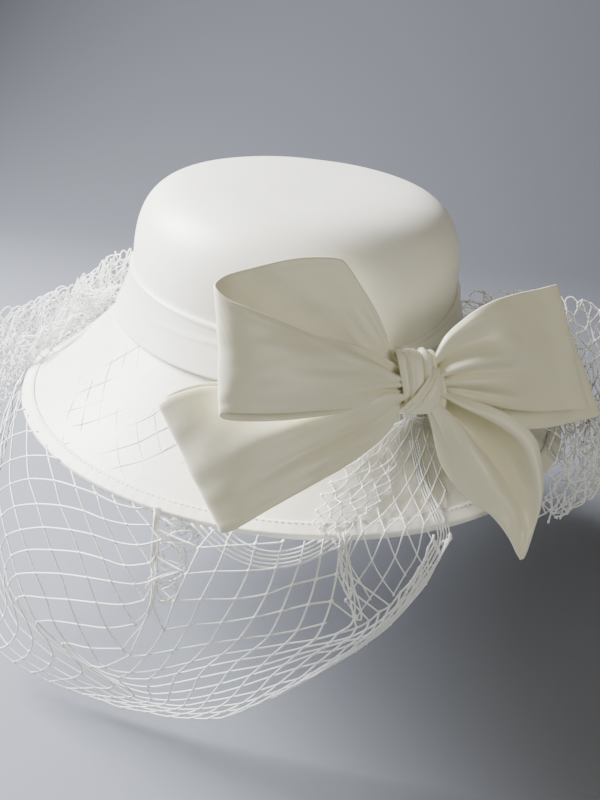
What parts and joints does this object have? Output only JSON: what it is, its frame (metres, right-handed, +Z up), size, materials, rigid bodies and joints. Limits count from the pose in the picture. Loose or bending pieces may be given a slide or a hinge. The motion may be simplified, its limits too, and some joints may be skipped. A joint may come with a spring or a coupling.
{
  "type": "dress hat",
  "caption": "Ladies' formal hat in ivory satin: low oval crown, wide down-turned bound brim, folded band, large satin bow and white diamond-net veil.",
  "frame": {"origin": "centre of the head opening, in the plane where the crown meets the brim", "axes": "+Z up through the crown, -Y to the front of the hat, +X to the wearer's left, the side of the bow"},
  "size_m": [0.3416, 0.3248, 0.2408],
  "materials": {
    "satin": "ivory satin, soft sheen",
    "band_satin": "ivory satin, folded",
    "binding": "ivory satin binding, fine ribs",
    "bow_satin": "ivory satin ribbon",
    "netting": "white knotted diamond netting",
    "buckram": "stiffened cloth",
    "lining": "thin lining",
    "sweatband": "grosgrain ribbon",
    "wire": "millinery wire",
    "thread": "sewing thread"
  },
  "bodies": {
    "root": {"crown_satin_cover": "satin", "crown_foundation": "buckram", "crown_lining": "lining", "brim_foundation": "buckram", "brim_satin_upper": "satin", "brim_satin_lower": "satin", "brim_edge_wire": "wire", "brim_edge_binding": "binding", "seam_tape": "lining", "sweatband": "sweatband", "hat_band": "band_satin", "bow_backing_patch": "buckram", "bow_knot": "bow_satin", "bow_loop_upper_left": "bow_satin", "bow_loop_lower_left": "bow_satin", "bow_loop_right": "bow_satin", "bow_layer_right_under": "bow_satin", "bow_tail_right": "bow_satin", "bow_tack_1": "thread", "bow_tack_2": "thread", "veil_gather": "netting", "veil_front": "netting", "veil_left_ruffle": "netting", "veil_right_puff": "netting"}
  },
  "joints": []
}
